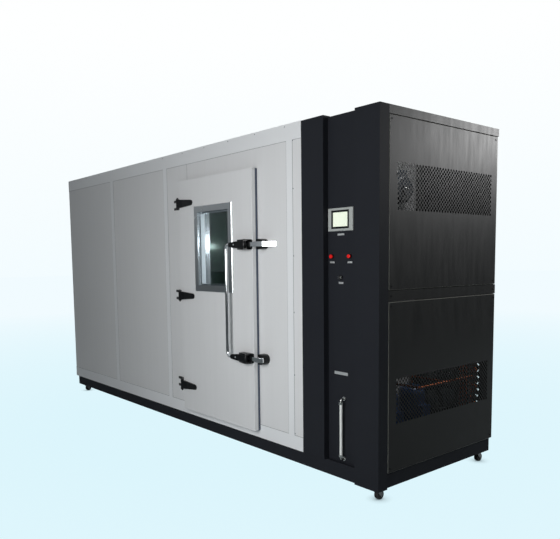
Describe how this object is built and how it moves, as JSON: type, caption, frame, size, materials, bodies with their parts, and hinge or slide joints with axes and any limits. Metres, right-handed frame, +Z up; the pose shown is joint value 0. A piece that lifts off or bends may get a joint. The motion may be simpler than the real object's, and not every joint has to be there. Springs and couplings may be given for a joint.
{
  "type": "walk-in environmental test chamber",
  "caption": "Walk-in environmental test chamber of insulated panels with a windowed door, linked two-point latch, machine cabinet with perforated side panels, on swivel castors.",
  "frame": {"origin": "on the floor under the middle of the whole outline", "axes": "+X to the right along the front, +Y to the rear, +Z up; the door faces -Y"},
  "size_m": [4.685, 1.418, 2.447],
  "materials": {
    "black_cast": "black enamelled casting",
    "blue_shell": "blue enamel",
    "brass_fitting": "machined brass",
    "bright_chrome": "polished chrome",
    "clear_glass": "clear float glass",
    "clear_tube": "clear gauge tube",
    "copper": "bare copper tube",
    "dark_paint": "fine-textured dark slate powder coat",
    "fins": "finned aluminium",
    "galvanised": "galvanised sheet",
    "gasket_rubber": "matt black silicone rubber",
    "grey_bezel": "light grey moulded plastic",
    "lamp_lens": "opal lens",
    "red_lens": "red translucent push button",
    "screen_face": "pale lit screen",
    "side_paint": "dark grey powder coat",
    "stainless": "brushed stainless steel",
    "tank_plastic": "natural polyethylene",
    "wheel_tread": "black nylon tread",
    "white_panel": "smooth semi-gloss powder coat"
  },
  "bodies": {
    "chamber": {"air_baffle": "stainless", "base_frame": "dark_paint", "cabinet_frame": "side_paint", "cabinet_roof": "side_paint", "chamber_lamp": "lamp_lens", "chamber_liner": "stainless", "circulation_motor": "blue_shell", "compressors": "blue_shell", "condenser_coil": "fins", "control_collars": "bright_chrome", "control_panel": "dark_paint", "corner_column": "dark_paint", "door_frame": "stainless", "door_wall_panel": "white_panel", "electrical_panel": "side_paint", "evaporator_coil": "fins", "fan_shroud": "side_paint", "floor_panel": "white_panel", "gauge_fittings": "brass_fitting", "gauge_tube": "clear_tube", "heater_bank": "stainless", "hinge_brackets": "black_cast", "keeper_brackets": "black_cast", "keeper_strikes": "bright_chrome", "motor_plate": "galvanised", "panel_screws": "stainless", "rear_covers": "side_paint", "refrigerant_lines": "copper", "roof_panels": "white_panel", "side_panel_lower": "side_paint", "side_panel_upper": "side_paint", "touch_bezel": "grey_bezel", "touch_screen": "screen_face", "transition_column": "dark_paint", "wall_panels": "white_panel", "wall_trims": "white_panel", "water_tank": "tank_plastic"},
    "door": {"door_leaf": "white_panel", "door_gasket": "gasket_rubber", "window_frame": "stainless", "window_panes": "clear_glass", "hinge_straps": "black_cast", "latch_bases": "black_cast"},
    "handle": {"latch_levers": "black_cast", "handle_bar": "bright_chrome"},
    "bolt_lower": {"latch_bolt_lower": "bright_chrome"},
    "bolt_upper": {"latch_bolt_upper": "bright_chrome"},
    "button_left": {"push_button_left": "red_lens"},
    "button_right": {"push_button_right": "red_lens"},
    "key": {"key_switch": "bright_chrome"},
    "room_fan": {"circulation_fan": "galvanised"},
    "coil_fan": {"condenser_fan": "black_cast"},
    "swivel_front_left": {"castor_fork_front_left": "galvanised"},
    "wheel_front_left": {"castor_wheel_front_left": "wheel_tread"},
    "swivel_front_right": {"castor_fork_front_right": "galvanised"},
    "wheel_front_right": {"castor_wheel_front_right": "wheel_tread"},
    "swivel_rear_left": {"castor_fork_rear_left": "galvanised"},
    "wheel_rear_left": {"castor_wheel_rear_left": "wheel_tread"},
    "swivel_rear_right": {"castor_fork_rear_right": "galvanised"},
    "wheel_rear_right": {"castor_wheel_rear_right": "wheel_tread"}
  },
  "joints": [
    {"name": "door_swing", "type": "hinge", "parent": "chamber", "child": "door", "pos_m": [0.1715, -0.653, 1.2175], "axis": [0, 0, -1], "range_deg": [0, 110]},
    {"name": "handle_pull", "type": "hinge", "parent": "door", "child": "handle", "pos_m": [1.1345, -0.681, 1.2185], "axis": [0, 0, 1], "range_deg": [0, 55]},
    {"name": "bolt_lower_draw", "type": "slide", "parent": "door", "child": "bolt_lower", "axis": [-1, 0, 0], "range_m": [0, 0.0262]},
    {"name": "bolt_upper_draw", "type": "slide", "parent": "door", "child": "bolt_upper", "axis": [-1, 0, 0], "range_m": [0, 0.0262]},
    {"name": "button_left_press", "type": "slide", "parent": "chamber", "child": "button_left", "axis": [0, 1, 0], "range_m": [0, 0.004], "stiffness_N_per_m": 600},
    {"name": "button_right_press", "type": "slide", "parent": "chamber", "child": "button_right", "axis": [0, 1, 0], "range_m": [0, 0.004], "stiffness_N_per_m": 600},
    {"name": "key_turn", "type": "hinge", "parent": "chamber", "child": "key", "pos_m": [1.98, -0.545, 1.408], "axis": [0, 1, 0], "range_deg": [0, 90]},
    {"name": "room_fan_spin", "type": "hinge", "parent": "chamber", "child": "room_fan", "pos_m": [1.5, 0.062, 2.005], "axis": [1, 0, 0], "continuous": true},
    {"name": "coil_fan_spin", "type": "hinge", "parent": "chamber", "child": "coil_fan", "pos_m": [1.967, 0.5, 0.568], "axis": [0, 1, 0], "continuous": true},
    {"name": "swivel_front_left_turn", "type": "hinge", "parent": "chamber", "child": "swivel_front_left", "pos_m": [-2.2605, -0.503, 0.07], "axis": [0, 0, 1], "continuous": true},
    {"name": "wheel_front_left_roll", "type": "hinge", "parent": "swivel_front_left", "child": "wheel_front_left", "pos_m": [-2.2605, -0.483, 0.03], "axis": [1, 0, 0], "continuous": true},
    {"name": "swivel_front_right_turn", "type": "hinge", "parent": "chamber", "child": "swivel_front_right", "pos_m": [2.2595, -0.503, 0.07], "axis": [0, 0, 1], "continuous": true},
    {"name": "wheel_front_right_roll", "type": "hinge", "parent": "swivel_front_right", "child": "wheel_front_right", "pos_m": [2.2595, -0.483, 0.03], "axis": [1, 0, 0], "continuous": true},
    {"name": "swivel_rear_left_turn", "type": "hinge", "parent": "chamber", "child": "swivel_rear_left", "pos_m": [-2.2605, 0.627, 0.07], "axis": [0, 0, 1], "continuous": true},
    {"name": "wheel_rear_left_roll", "type": "hinge", "parent": "swivel_rear_left", "child": "wheel_rear_left", "pos_m": [-2.2605, 0.647, 0.03], "axis": [1, 0, 0], "continuous": true},
    {"name": "swivel_rear_right_turn", "type": "hinge", "parent": "chamber", "child": "swivel_rear_right", "pos_m": [2.2595, 0.627, 0.07], "axis": [0, 0, 1], "continuous": true},
    {"name": "wheel_rear_right_roll", "type": "hinge", "parent": "swivel_rear_right", "child": "wheel_rear_right", "pos_m": [2.2595, 0.647, 0.03], "axis": [1, 0, 0], "continuous": true}
  ],
  "couplings": [
    {"joint": "bolt_lower_draw", "follows": "handle_pull", "m_per_rad": 0.027085},
    {"joint": "bolt_upper_draw", "follows": "handle_pull", "m_per_rad": 0.027085}
  ]
}
